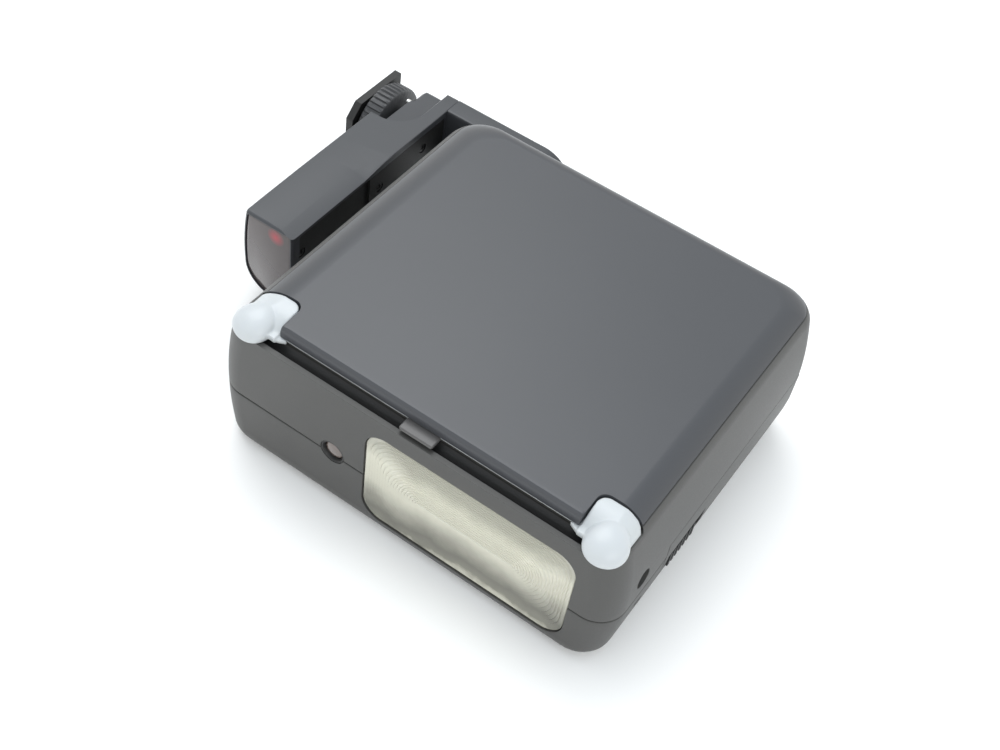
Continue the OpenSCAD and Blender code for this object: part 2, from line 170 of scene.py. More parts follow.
def block(name, low, high, radius=0.0, axis="z", chamfer=0.0):
    # a box whose outline across the axis has round corners and whose ends are eased
    low, high = np.asarray(low, float), np.asarray(high, float)
    a, b, c = {"z": (0, 1, 2), "y": (0, 2, 1), "x": (1, 2, 0)}[axis]
    mid = (low + high) / 2
    half = (high - low) / 2
    radius = max(radius, 0.02)
    insets = [chamfer, 0, 0, chamfer] if chamfer else [0, 0]
    places = [low[c], low[c] + chamfer, high[c] - chamfer, high[c]] if chamfer else [low[c], high[c]]
    rings = [softRing(half[a] - d, half[b] - d, max(radius - d, 0.01), 5) + [mid[a], mid[b]] for d in insets]
    return stack(name, rings, places, axis)


def unitCircle(points):
    # cos t and sin t for evenly spaced t, once round
    turn = np.linspace(0, 2 * math.pi, points, endpoint=False)
    return np.stack([np.cos(turn), np.sin(turn)], 1)


def rod(name, centre, radius, low, high, axis="y", points=48):
    # centre + radius * (cos t, sin t), carried straight along the axis
    outline = unitCircle(points) * radius + centre
    return stack(name, [outline, outline], [low, high], axis)


def lathe(name, profile, centre, axis="y", points=64):
    # profile is radius and place along the axis, turned once round the centre
    circle = unitCircle(points)
    profile = np.asarray(profile, float)
    return stack(name, [circle * max(r, 0.005) + centre for r in profile[:, 0]], profile[:, 1], axis)


# materials

def material(name, color, rough=0.4, grain=0.0, grainSize=0.3, mottle=0.08, mottleSize=12.0, **sockets):
    # colour and roughness drift slowly over the surface, and a fine grain lifts it
    mat = bpy.data.materials.new(name)
    mat.use_nodes = True
    nodes, links = mat.node_tree.nodes, mat.node_tree.links
    shader = nodes["Principled BSDF"]
    coord = nodes.new("ShaderNodeTexCoord")
    drift = nodes.new("ShaderNodeTexNoise")
    drift.inputs["Scale"].default_value = 1 / (mottleSize * mm)
    drift.inputs["Detail"].default_value = 3
    links.new(coord.outputs["Object"], drift.inputs["Vector"])
    tone = nodes.new("ShaderNodeMix")
    tone.data_type = "RGBA"
    tone.inputs["A"].default_value = (*[c * (1 - mottle) for c in color], 1)
    tone.inputs["B"].default_value = (*[min(1, c * (1 + mottle)) for c in color], 1)
    links.new(drift.outputs["Fac"], tone.inputs["Factor"])
    links.new(tone.outputs["Result"], shader.inputs["Base Color"])
    fine = nodes.new("ShaderNodeTexNoise")
    fine.inputs["Scale"].default_value = 1 / (grainSize * mm)
    fine.inputs["Detail"].default_value = 2
    links.new(coord.outputs["Object"], fine.inputs["Vector"])
    spread = nodes.new("ShaderNodeMapRange")
    spread.inputs["To Min"].default_value = max(0.02, rough - 0.06)
    spread.inputs["To Max"].default_value = min(1, rough + 0.06)
    links.new(fine.outputs["Fac"], spread.inputs["Value"])
    links.new(spread.outputs["Result"], shader.inputs["Roughness"])
    if grain:
        bump = nodes.new("ShaderNodeBump")
        bump.inputs["Strength"].default_value = grain
        bump.inputs["Distance"].default_value = 0.05 * mm
        links.new(fine.outputs["Fac"], bump.inputs["Height"])
        links.new(bump.outputs["Normal"], shader.inputs["Normal"])
    for socket, value in sockets.items():
        shader.inputs[socket.replace("_", " ")].default_value = value
    return mat


def wear(obj, mat):
    obj.data.materials.clear()
    obj.data.materials.append(mat)


def finishNode(node, mat):
    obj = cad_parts[node]
    if not obj.material_slots:
        obj.data.materials.append(mat)
    for held in obj.material_slots:
        held.material = mat


def addPiece(obj, body, slotName, mat, *nodes):
    wear(obj, mat)
    if not obj.modifiers:
        obj.data.set_sharp_from_angle(angle=math.radians(sharpAngle))
    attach(obj, body)
    if nodes:
        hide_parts(*nodes)
    return obj


finish = {
    "shell": material("satinShell", (0.055, 0.0545, 0.0525), 0.45, 0.25, 0.35),
    "cover": material("smoothCover", (0.0525, 0.0555, 0.0625), 0.36, 0.12, 0.3, 0.05, 30.0),
    "bracket": material("bracketPlastic", (0.043, 0.046, 0.052), 0.4, 0.12, 0.3, 0.05, 30.0),
    "black": material("deepBlack", (0.010, 0.010, 0.010), 0.5, 0.3, 0.4),
    "wheel": material("wheelBlack", (0.055, 0.056, 0.06), 0.45, 0.2, 0.3),
    "card": material("milkWhite", (0.52, 0.55, 0.57), 0.34, 0.05, 0.5, 0.02, Subsurface_Weight=0.15,
                     Subsurface_Radius=(0.004, 0.004, 0.005), Subsurface_Scale=1.0),
    # painted shade: dark grey for the card's pull, which is white card in the cover's shadow
    "tab": material("shadedCardPull", (0.085, 0.083, 0.083), 0.3, 0.05),
    "lens": material("ribbedLens", (0.72, 0.71, 0.60), 0.14, 0.0, 0.4, 0.03, Alpha=0.78, IOR=1.49,
                     Specular_IOR_Level=0.6),
    "mirror": material("brightMirror", (0.88, 0.87, 0.82), 0.18, 0.1, 0.6, 0.03, Metallic=1.0),
    "tube": material("clearTube", (0.85, 0.9, 0.92), 0.06, 0.0, 0.5, 0.02, Alpha=0.5),
    "darkScrew": material("darkScrew", (0.05, 0.05, 0.05), 0.35, 0.15, 0.25, 0.05, Metallic=0.8),
    "steel": material("plainSteel", (0.60, 0.60, 0.59), 0.28, 0.15, 0.25, 0.05, Metallic=1.0),
    "window": material("smokedRed", (0.0686, 0.053, 0.053), 0.14, 0.0, 4.0, 0.05, 9.0,
                       Coat_Weight=0.5, Coat_Roughness=0.05),
    "lampRed": material("lampRed", (0.75, 0.05, 0.06), 0.2, 0.0, 0.5, 0.05, Emission_Color=(1, 0.08, 0.1, 1),
                        Emission_Strength=0.4),
    "sensor": material("sensorPink", (0.13, 0.10, 0.088), 0.15, 0.0, 0.4, 0.2, 1.0, Coat_Weight=0.8),
    "board": material("boardGreen", (0.02, 0.10, 0.04), 0.35, 0.1, 0.5, 0.15, 4.0),
    "copper": material("tapedWinding", (0.50, 0.32, 0.07), 0.4, 0.2, 0.4),
    "sleeve": material("darkSleeve", (0.02, 0.02, 0.035), 0.25, 0.05, 0.6),
    "cell": material("cellJacket", (0.04, 0.07, 0.2), 0.3, 0.05, 0.6),
    "gold": material("contactGold", (0.80, 0.60, 0.28), 0.25, 0.1, 0.3, 0.05, Metallic=1.0),
    "key": material("keyGrey", (0.26, 0.26, 0.265), 0.42, 0.2, 0.3),
    "test": material("testOrange", (0.55, 0.13, 0.03), 0.3, 0.1, 0.4),
    "glass": material("displayGlass", (0.55, 0.60, 0.55), 0.06, 0.0, 0.5, 0.02, Alpha=0.35),
    "display": material("displayGreen", (0.28, 0.31, 0.24), 0.35, 0.05, 0.5, 0.05),
    "ink": material("displayInk", (0.02, 0.025, 0.02), 0.4, 0.05),
    "panel": material("panelBlack", (0.03, 0.03, 0.032), 0.3, 0.1, 0.3),
    "mark": material("paleMark", (0.62, 0.62, 0.60), 0.45, 0.1, 0.3),
}
print("materials made:", len(finish))

# head shells

shell = {"corner": 6.5, "topRadius": 5.0, "leftRadius": 8.5, "underRadius": 4.5, "wall": 2.0,
         "bulge": 75.0, "bulgeZ": 18.0, "leftSwell": 2.0, "lensCorner": 5.0, "panelCorner": 2.0,
         "sensorHole": 3.05, "swivelHole": 4.05, "screwHole": 2.1, "socketHole": 2.25,
         "seam": span("lower_shell")[1][2], "coverSeam": span("upper_shell")[1][2],
         "deck": headH - 4.0, "channel": headH - 4.6, "lip": 3.4, "gap": 0.13}
lensLow, lensHigh = span("flash_lens")
panelLow, panelHigh = span("back_panel")
doorLow, doorHigh = span("battery_door")


def rounding(z, low, high):
    # inset of the two quarter circles at the foot and at the top of the wall
    under = np.clip(low - z, 0, low)
    over = np.clip(z - (headH - high), 0, high)
    return low - math.sqrt(low ** 2 - under ** 2) + high - math.sqrt(high ** 2 - over ** 2)


def headRing(z, inset=0.0):
    # the sides bulge on a large circle, x = R - sqrt(R^2 - (z - z0)^2), and all four walls are rounded
    r = shell["bulge"]
    drawn = inset + r - math.sqrt(r ** 2 - (z - shell["bulgeZ"]) ** 2)
    ends = rounding(z, shell["underRadius"], shell["topRadius"]) + inset
    left = rounding(z, shell["underRadius"], shell["leftRadius"]) + drawn - shell["leftSwell"]
    low, high = np.array([left, ends]), np.array([headW - ends + inset - drawn, headD - ends])
    half = (high - low) / 2
    return softRing(half[0], half[1], max(shell["corner"] - inset, 0.3), 12) + (low + high) / 2


def headStack(name, steps):
    # steps are pairs of inset and height, each a ring of the head
    return stack(name, [headRing(z, d) for d, z in steps], [z for d, z in steps])


def underside(steps=10):
    # heights r - r cos a up the quarter circle at the foot of the wall
    r = shell["underRadius"]
    return [(0, r - r * math.cos(a)) for a in np.linspace(0, math.pi / 2, steps)]


def wallSteps(low, high, count=8):
    # even heights up the wall, with no inset
    return [(0, z) for z in np.linspace(low, high, count)]


def crown(low, high, steps=14):
    # heights over the top edge between two heights, closer together towards the flat top
    r = shell["topRadius"]
    base = headH - r
    start, end = [math.asin((min(max(z, base), headH) - base) / r) for z in (low, high)]
    return [(0, base + r * math.sin(a)) for a in np.linspace(start, end, steps)]


def slab(name, outline, low, high, axis):
    # an outline in a plane carried straight from low to high along the axis
    outline = np.asarray(outline, float)
    return stack(name, [outline, outline], [low, high], axis)


def lensHole(name, gap, low, high):
    centre = (lensLow + lensHigh)[[0, 2]] / 2
    half = (lensHigh - lensLow)[[0, 2]] / 2 + gap
    return slab(name, softRing(half[0], half[1], shell["lensCorner"] + gap, 10) + centre, low, high, "y")


def panelHole(name, gap):
    centre = (panelLow + panelHigh)[[0, 2]] / 2
    half = (panelHigh - panelLow)[[0, 2]] / 2 + gap
    return slab(name, softRing(half[0], half[1], shell["panelCorner"], 6) + centre, headD - 4, headD + 1, "y")


shellScrewAt = [(8, 8), (headW - 8.5, 7.5), (7.5, headD - 10), (31, headD - 9)]
sensorAt = (span("sensor_window")[0] + span("sensor_window")[1])[[0, 2]] / 2
socketAt = (span("side_socket")[0] + span("side_socket")[1])[[1, 2]] / 2
swivelAt = (span("swivel_shaft")[0] + span("swivel_shaft")[1])[[0, 2]] / 2


def commonCutters():
    return [lensHole("cutLens", 0.12, -1, 4), panelHole("cutPanel", 0.1),
            rod("cutSensor", sensorAt, shell["sensorHole"], -1, 4),
            rod("cutSwivel", swivelAt, shell["swivelHole"], headD - 6, headD + 1),
            block("cutDoor", (headW - 3.3, doorLow[1] - 0.3, doorLow[2] - 1.2),
                  (headW + 1, doorHigh[1] + 0.3, doorHigh[2] + 0.2), 0.3, "x")]


def buildLowerShell():
    wall, seam, gap = shell["wall"], shell["seam"], shell["gap"]
    steps = underside() + wallSteps(shell["underRadius"] + 1, seam - 0.35)
    steps += [(0.1, seam - gap - 0.08), (0.25, seam - gap), (wall, seam - gap), (wall, wall + 0.5),
              (wall + 0.4, wall + 0.1)]
    obj = headStack("lowerShell", steps)
    cuts = [rod("cutScrew", p, shell["screwHole"], -1, 2.3, "z", 32) for p in shellScrewAt]
    cuts.append(block("cutSlot", (headW - 1, 11.4, 11.3), (headW + 1, 14.6, 12.5), 0.5, "x"))
    return carve(obj, commonCutters() + cuts)


def buildUpperShell():
    wall, seam, gap = shell["wall"], shell["seam"], shell["gap"]
    top, deck = shell["coverSeam"], shell["deck"]
    steps = [(wall, deck - 1.5), (wall, seam + gap), (0.25, seam + gap), (0.1, seam + gap + 0.08),
             *wallSteps(seam + 0.35, headH - shell["topRadius"], 10)]
    steps += crown(headH - shell["topRadius"], top - 0.1, 7)[1:]
    steps += [(wall + 0.3, top - 0.1), (wall + 0.3, deck)]
    obj = headStack("upperShell", steps)
    cuts = [slab("cutTab", tabRing(side, 0.3, -3), deck, headH, "z") for side in ("left", "right")]
    cuts.append(block("cutRecess", (3.6, -1, deck), (headW - 5.6, headD - 11.2, headH)))
    return carve(obj, commonCutters() + cuts + [
        channelCutter(), rod("cutSocket", socketAt, shell["socketHole"], headW - 3, headW + 1, "x")])


def channelCutter():
    # hollow along the front edge: a flat ledge, then a round trough reaching under the cover
    floor, lip = shell["channel"], shell["lip"]
    t = np.radians(np.linspace(180, 350, 11))
    trough = np.stack([lip - 0.7 + 1.5 * np.cos(t), floor + 0.1 + 0.95 * np.sin(t)], 1)
    outline = np.concatenate([[(-1, floor + 3), (-1, floor + 0.1)], trough,
                              [(lip + 0.8, shell["deck"] + 0.1), (lip + 0.8, floor + 3)]])
    return slab("cutChannel", outline, -4, headW + 1, "x")


tabs = {"left": (1.0, 12.6), "right": (headW - 12.6, headW - 2.6), "back": 10.8, "radius": 2.2}


def tabRing(side, gap, front):
    # the card's corner tab seen from above, round at its two back corners
    low = np.array([tabs[side][0] - gap, front])
    high = np.array([tabs[side][1] + gap, tabs["back"] + gap])
    turn = np.radians(np.linspace(0, 90, 9))
    r = tabs["radius"]
    right = np.stack([high[0] - r + r * np.cos(turn), high[1] - r + r * np.sin(turn)], 1)
    leftArc = np.stack([low[0] + r - r * np.sin(turn), high[1] - r + r * np.cos(turn)], 1)
    return np.concatenate([[(low[0], low[1]), (high[0], low[1])], right, leftArc])


def buildCover():
    # the head's rings above the cover's seam, cut to a lip in front and round the card's tabs
    seam, lip = shell["coverSeam"], shell["lip"]
    obj = headStack("topCover", [(3.0, seam + 0.05), (0.25, seam + 0.05)] + crown(seam + 0.25, headH, 16))
    nose = [(-5, seam - 2), (lip, seam - 2), (lip, headH - 1.1), (lip + 0.25, headH - 0.5),
            (lip + 0.8, headH - 0.05), (lip + 1.0, headH + 2), (-5, headH + 2)]
    front = slab("cutFront", nose, -5, headW + 2, "x")
    notches = [slab("cutNotch", tabRing(side, 0.3, -3), seam - 2, headH + 2, "z")
               for side in ("left", "right")]
    return carve(obj, [front] + notches)


def paintTroughShade(faces):
    # painted shade: faces whose centres lie inside the channel take the second, black material, standing in for
    # the shadow under the cover
    centres = np.empty(len(faces) * 3)
    faces.foreach_get("center", centres)
    x, y, z = ((centres.reshape(-1, 3) - headCorner) / mm).T
    inside = (y > 1.35) & (y < shell["lip"] + 0.75) & (z > shell["channel"] - 1) & (z < shell["deck"])
    inside &= np.abs(x - headW / 2) < 50
    faces.foreach_set("material_index", inside.astype(int))


for build, slotName, mat, node in [(buildLowerShell, "shell_plastic", "shell", "lower_shell"),
                                   (buildUpperShell, "shell_plastic", "shell", "upper_shell"),
                                   (buildCover, "cover_plastic", "cover", "top_cover")]:
    piece = addPiece(soften(build()), "head", slotName, finish[mat], node)
    if node == "upper_shell":
        # the black second material is painted shade in the channel
        piece.data.materials.append(finish["black"])
        paintTroughShade(piece.data.polygons)
print("head shells built")

# bounce card

card = {"knob": 4.5, "flat": 0.62, "front": span("bounce_card")[0][1] + 0.03,
        "knobX": {"left": 6.0, "right": headW - 5.8}, "knobDrop": 4.1, "tipY": 8.4, "tipDrop": 1.5,
        "rings": 41, "points": 64, "tipX": {"left": 7.2, "right": headW - 7.6}, "voxel": 0.2,
        "foot": shell["deck"] + 0.15,
        "roof": headH - 0.3, "dip": 2.1}


def egg(name, side):
    # a drop along a line from the front edge back on to the tab: radius ~ sqrt(q) (1 - q)^0.7
    front = np.array([card["knobX"][side], card["front"], headH - card["knobDrop"]])
    back = np.array([card["tipX"][side], card["tipY"], headH - card["tipDrop"]])
    along = back - front
    across = np.cross(along, [0, 0, 1])
    across /= np.linalg.norm(across)
    up = np.cross(across, along / np.linalg.norm(along))
    q = (1 - np.cos(np.linspace(0.03, math.pi - 0.03, card["rings"]))) / 2
    radius = card["knob"] * 2.26 * np.sqrt(q) * np.power(1 - q, 0.7)
    rings, points = card["rings"], card["points"]
    circle = unitCircle(points)
    ring = front + along * q[:, None, None] + radius[:, None, None] * (
        across * circle[None, :, :1] + up * circle[None, :, 1:] * card["flat"])
    verts = ring.reshape(-1, 3)
    verts[:, 1] = np.maximum(verts[:, 1], card["front"])
    faces = gridFaces(rings, points)
    faces += [list(range(points))[::-1], list(range((rings - 1) * points, rings * points))]
    obj = newObject(name, verts, faces)
    if signedVolume(obj) < 0:
        obj.data.flip_normals()
    return obj


def buildCorner(side):
    # the tab is level at the back and dips smoothly to the card's level at the front
    low, high = tabs[side]
    lip = shell["lip"]
    y = np.linspace(lip - 1.4, tabs["back"], 24)
    fall = np.clip((y - lip - 0.2) / 6.0, 0, 1)
    roof = card["roof"] - card["dip"] * (1 - np.sin(fall * math.pi / 2)) ** 1.3
    rings = [np.array([(low, card["foot"]), (high, card["foot"]), (high, top), (low, top)]) for top in roof]
    tab = stack("tab", rings, y, "y")
    ring = tabRing(side, 0.0, lip - 1.5)
    heights = [headH - 8] + [z for _, z in crown(headH - 5, headH - 0.02, 12)]
    carve(tab, [slab("tabPlan", ring, headH - 9, headH + 1, "z"),
                headStack("tabForm", [(0.25, z) for z in heights])], "INTERSECT")
    inner, way = (high, 1) if side == "left" else (low, -1)
    beak = [(-2.0, 1.5), (-2.0, -1.4), (0.6, -0.9), (2.0, -0.2), (2.0, 0.05), (0.5, 0.5)]
    outline = [(inner + way * x, lip + y) for x, y in beak][::way]
    tip = slab("tip", outline, card["foot"], shell["coverSeam"] - 0.05, "z")
    carve(tab, [tip, egg("knob", side)], "UNION")
    step = tab.modifiers.new("blend", "REMESH")
    step.mode = "VOXEL"
    step.voxel_size = card["voxel"] * mm
    ease = tab.modifiers.new("ease", "SMOOTH")
    ease.factor = 0.6
    ease.iterations = 5
    bake(tab)
    front = block("floorCut", (-4, -6, headH - 12), (headW + 2, lip - 0.1, shell["channel"] + 0.1))
    back = block("deckCut", (-4, lip - 0.2, headH - 12), (headW + 2, 14, shell["deck"] + 0.1))
    return carve(tab, [front, back])


sheet = block("cardSheet", (4.6, shell["lip"] + 0.12, shell["coverSeam"] - 0.4),
              (headW - 6.3, headD - 12, shell["coverSeam"] - 0.1), 1.5, "z", 0.1)
addPiece(sheet, "card", "card_white", finish["card"], "bounce_card")
for side, name in [("left", "cardCornerLeft"), ("right", "cardCornerRight")]:
    corner = buildCorner(side)
    corner.name = name
    addPiece(corner, "card", "card_white", finish["card"])
# the pull's dark grey is painted shade of the cover over white card
pull = block("cardPull", (headW / 2 - 4, 0.6, shell["deck"] + 0.2),
             (headW / 2 + 4, shell["lip"] + 3, shell["coverSeam"] - 0.15), 0.5, "z", 0.2)
addPiece(pull, "card", "card_white", finish["tab"])
print("bounce card built")

# flash window

# the tones by height are painted shade and reflection over the lens's own beige tint
lens = {"pitch": 0.7, "depth": 0.3, "pointsPerRib": 4, "corner": 5.0, "dome": 0.25,
        "cloud": 0.3, "cloudSize": 9.0, "tint": (1.0, 0.985, 0.84), "side": 24,
        "paintedTones": [(0.0, 0.7), (0.15, 0.62), (0.2, 0.26), (0.3, 0.2), (0.46, 0.42), (0.62, 0.7),
                  (0.85, 0.78), (1.0, 0.52)]}


def paintLensShadeAndReflection(mat):
    # painted shade and reflection: the window's colour is dim in a band above its lower edge and bright through
    # the middle
    nodes, links = mat.node_tree.nodes, mat.node_tree.links
    coord = next(n for n in nodes if n.type == "TEX_COORD")
    split = nodes.new("ShaderNodeSeparateXYZ")
    links.new(coord.outputs["Object"], split.inputs["Vector"])
    height = nodes.new("ShaderNodeMapRange")
    height.inputs["From Min"].default_value = place(lensLow)[2]
    height.inputs["From Max"].default_value = place(lensHigh)[2]
    links.new(split.outputs["Z"], height.inputs["Value"])
    ramp = nodes.new("ShaderNodeValToRGB")
    for number, (at, tone) in enumerate(lens["paintedTones"]):
        stop = ramp.color_ramp.elements[number] if number < 2 else ramp.color_ramp.elements.new(at)
        stop.position = at
        stop.color = (*[tone * share for share in lens["tint"]], 1)
    cloud = nodes.new("ShaderNodeTexNoise")
    cloud.inputs["Scale"].default_value = 1 / (lens["cloudSize"] * mm)
    cloud.inputs["Detail"].default_value = 4
    links.new(coord.outputs["Object"], cloud.inputs["Vector"])
    blur = nodes.new("ShaderNodeMath")
    blur.operation = "MULTIPLY_ADD"
    blur.inputs[1].default_value = lens["cloud"]
    links.new(cloud.outputs["Fac"], blur.inputs[0])
    links.new(height.outputs["Result"], blur.inputs[2])
    links.new(blur.outputs["Value"], ramp.inputs["Fac"])
    links.new(ramp.outputs["Color"], nodes["Principled BSDF"].inputs["Base Color"])


def buildLens():
    # rings shrink towards the centre, and a saw tooth of one pitch runs across them
    centre = (lensLow + lensHigh)[[0, 2]] / 2
    half = (lensHigh - lensLow)[[0, 2]] / 2
    ribs = int(half[1] / lens["pitch"])
    ringCount = ribs * lens["pointsPerRib"]
    shrink = np.linspace(0, half[1] - 0.6, ringCount)
    phase = (shrink / lens["pitch"]) % 1.0
    face = lensLow[1] + 0.25 - lens["dome"] * np.sin(np.pi / 2 * shrink / half[1]) + lens["depth"] * phase
    rings, depths = [], []
    for d, y in [(0.5, lensHigh[1]), (0.0, lensHigh[1] - 0.4), (0.0, lensLow[1] + 0.5),
                 (0.12, lensLow[1] + 0.3)]:
        rings.append(softRing(half[0] - d, half[1] - d, lens["corner"] - min(d, 4), lens["side"]) + centre)
        depths.append(y)
    for d, y in zip(shrink + 0.35, face):
        r = np.clip(lens["corner"] + d * 0.35, 0.1, half[1] - d - 0.01)
        rings.append(softRing(half[0] - d, half[1] - d, r, lens["side"]) + centre)
        depths.append(y)
    return stack("flashWindow", rings, depths, "y")


paintLensShadeAndReflection(finish["lens"])
addPiece(buildLens(), "head", "lens_clear", finish["lens"], "flash_lens")
print("flash window built")

# L-shaped bracket

armLow, armHigh = span("arm_housing")
arm = {"bulge": 66.0, "bulgeZ": 16.0, "corner": 8.0, "top": 28.0, "bottom": 4.0,
       "inner": span("inner_cover")[1][0], "front": armLow[1], "back": span("back_arm")[1][1],
       "cheekY": armHigh[1], "bevel": 4.0, "bevelDrop": 1.1, "bevelEnd": 60.0,
       "cheekTop": 20.0, "scoopX": -13.5, "scoopY": 80.0, "scoopRadius": 7.5,
       "widest": 58.0, "frontDraw": (0.2, 24.0), "backDraw": (0.3, 40.0), "shoulder": 0.9}
arm["outer"] = armLow[0]


def armRing(gap, shift=0.0, points=14):
    # section of the long arm: flat inside, bulged outside, soft underneath
    r, soft = arm["corner"] - gap, arm["shoulder"]
    low, top, inner = arm["bottom"] + gap, arm["top"] - gap, arm["inner"] - gap
    outer = arm["outer"] + gap + shift
    t = np.radians(np.linspace(0, 90, points))
    under = np.stack([outer + r - r * np.sin(t[::-1]), low + r - r * np.cos(t[::-1])], 1)[::-1]
    z = np.linspace(low + r, top - soft, points)
    side = np.stack([outer + arm["bulge"] - np.sqrt(arm["bulge"] ** 2 - (z - arm["bulgeZ"]) ** 2), z], 1)
    under[:, 0] += (side[0, 0] - under[-1, 0]) * np.linspace(0, 1, points)
    shoulder = np.stack([side[-1, 0] + soft * (1 - np.cos(t[:9])), top - soft + soft * np.sin(t[:9])], 1)
    return np.concatenate([[(inner, low + 0.3), (inner - 0.3, low)], under, side[1:], shoulder[1:],
                           [(inner - 0.15, top), (inner, top - 0.15)]])


def swell(y):
    # how far the outer wall has drawn in either side of its widest place: depth * (distance / run)^2
    (front, frontRun), (back, backRun) = arm["frontDraw"], arm["backDraw"]
    away = y - arm["widest"]
    return front * np.clip(-away / frontRun, 0, 1) ** 2 + back * np.clip(away / backRun, 0, 1) ** 2


def buildArm():
    # sections of the arm carried along its length, then cut for bevel, scoop, inner cover and stem
    y = np.concatenate([[arm["front"], arm["front"] + 0.4],
                        np.linspace(arm["front"] + 1, arm["back"] - 1.2, 20),
                        [arm["back"] - 0.3, arm["back"]]])
    gaps = [0.5, 0.12] + [0] * 20 + [0.3, 1.0]
    obj = stack("longArm", [armRing(d, swell(v)) for d, v in zip(gaps, y)], y, "y")
    wheelLow, wheelHigh = span("lock_wheel")
    axis = (wheelLow + wheelHigh)[1:] / 2
    cheek = block("cheek", (arm["outer"] + 0.7, arm["back"] - 2, 5),
                  (arm["outer"] + 10.5, arm["cheekY"], arm["cheekTop"]), 1.5, "x", 0.8)
    carve(obj, [cheek], "UNION")
    inner, top, drop = arm["inner"], arm["top"], arm["bevelDrop"]
    wedge = [np.array([(inner - w, top + 0.02), (inner + 0.5, top + 0.02), (inner + 0.5, top - h)])
             for w, h in [(arm["bevel"], drop), (arm["bevel"], drop), (0.6, 0.05)]]
    scoopMid, scoopHalf = (arm["scoopX"] + arm["outer"] - 10) / 2, (arm["scoopX"] - arm["outer"] + 10) / 2
    scoop = [softRing(scoopHalf - d, 20 - d, arm["scoopRadius"] - d, 12) + [scoopMid, arm["scoopY"] + 20]
             for d in (2.2, 1.0, 0.3, 0, 0, -0.5)]
    floor = arm["cheekTop"]
    cuts = [slab("cutFront", armRing(0.75, swell(arm["front"])), arm["front"] - 1, arm["front"] + 2, "y"),
            stack("cutBevel", wedge, [arm["front"] - 1, arm["bevelEnd"], arm["bevelEnd"] + 9], "y"),
            stack("cutScoop", scoop, [floor, floor + 0.3, floor + 1.0, floor + 2.2, top - 0.5, top + 0.1]),
            block("cutInner", (inner - 1.6, arm["front"] + 2.5, 5.5), (inner + 1, 91.5, 26.2), 0.5, "x"),
            rod("cutStem", axis, 5.6, arm["outer"] - 2, arm["outer"] + 3.1, "x")]
    return carve(obj, cuts)


addPiece(soften(buildArm(), 0.3, 40, 3), "foot_unit", "shell_plastic", finish["bracket"], "arm_housing")


def buildBackArm():
    # flat at the long arm, half round about the swivel: x = x0 + (r - d) cos t, z = z0 + (r - d) sin t
    low, high = span("back_arm")
    r = (high[2] - low[2]) / 2
    midZ = (high[2] + low[2]) / 2
    pinLow, pinHigh = span("tilt_pin")
    pin = (pinLow + pinHigh)[:2] / 2
    t = np.radians(np.linspace(-90, 90, 33))

    def ring(d):
        arc = np.stack([swivelAt[0] + (r - d) * np.cos(t), midZ + (r - d) * np.sin(t)], 1)
        return np.concatenate([[(low[0] + 0.02, high[2] - d), (low[0] + 0.02, low[2] + d)], arc])

    obj = stack("backArm", [ring(0.7), ring(0.15), ring(0), ring(0), ring(0.15), ring(0.7)],
                [low[1], low[1] + 0.35, low[1] + 0.9, high[1] - 0.9, high[1] - 0.35, high[1]], "y")
    half = (high[1] - low[1]) / 2
    keep = lathe("keep", [(half, 0), (half, headH)], pin, "z", 72)
    flat = block("keepFlat", (low[0] - 5, low[1] - 1, -1), (pin[0], high[1] + 1, headH), 0)
    carve(keep, [flat], "UNION")
    carve(obj, [keep], "INTERSECT")
    return carve(obj, [block("cutFork", (pin[0] - 5.4, low[1] - 1, 15.1), (pin[0] + 6, high[1] + 1, 23.9), 0),
                       rod("cutPin", pin, 1.25, 0, headH, "z")])


addPiece(soften(buildBackArm(), 0.25, 40, 2), "foot_unit", "shell_plastic", finish["bracket"], "back_arm")


def buildWindow():
    # the arm's own section, 0.8 to 1.2 mm smaller, set into its front end
    drawn = swell(arm["front"])
    rings = [armRing(1.2, drawn), armRing(0.9, drawn), armRing(0.82, drawn), armRing(0.82, drawn)]
    return stack("assistWindow", rings, [arm["front"] + 0.15, arm["front"] + 0.3, arm["front"] + 0.6,
                                         arm["front"] + 1.9], "y")


def paintRedGlint(mat, centre, radius, color):
    # painted glint: red colour fades in towards a point, where the lamp behind the filter catches the light
    nodes, links = mat.node_tree.nodes, mat.node_tree.links
    coord = next(n for n in nodes if n.type == "TEX_COORD")
    mix = next(n for n in nodes if n.type == "MIX")
    away = nodes.new("ShaderNodeVectorMath")
    away.operation = "DISTANCE"
    away.inputs[1].default_value = place(centre)
    links.new(coord.outputs["Object"], away.inputs[0])
    near = nodes.new("ShaderNodeMapRange")
    near.inputs["From Min"].default_value = radius * mm
    near.inputs["From Max"].default_value = 0
    links.new(away.outputs["Value"], near.inputs["Value"])
    spot = nodes.new("ShaderNodeMix")
    spot.data_type = "RGBA"
    spot.inputs["B"].default_value = (*color, 1)
    links.new(near.outputs["Result"], spot.inputs["Factor"])
    links.new(mix.outputs["Result"], spot.inputs["A"])
    links.new(spot.outputs["Result"], nodes["Principled BSDF"].inputs["Base Color"])


# painted red glint on the assist window
redGlint = {"at": (-14.6, arm["front"] + 0.2, 24.8), "radius": 2.5, "color": (0.42, 0.03, 0.045)}
paintRedGlint(finish["window"], redGlint["at"], redGlint["radius"], redGlint["color"])
addPiece(buildWindow(), "foot_unit", "window_red", finish["window"], "assist_window")

wheel = {"ribs": 44, "depth": 0.55, "edge": 0.9, "bore": 5.56, "perRib": 12, "steep": 14.0, "share": 0.05}


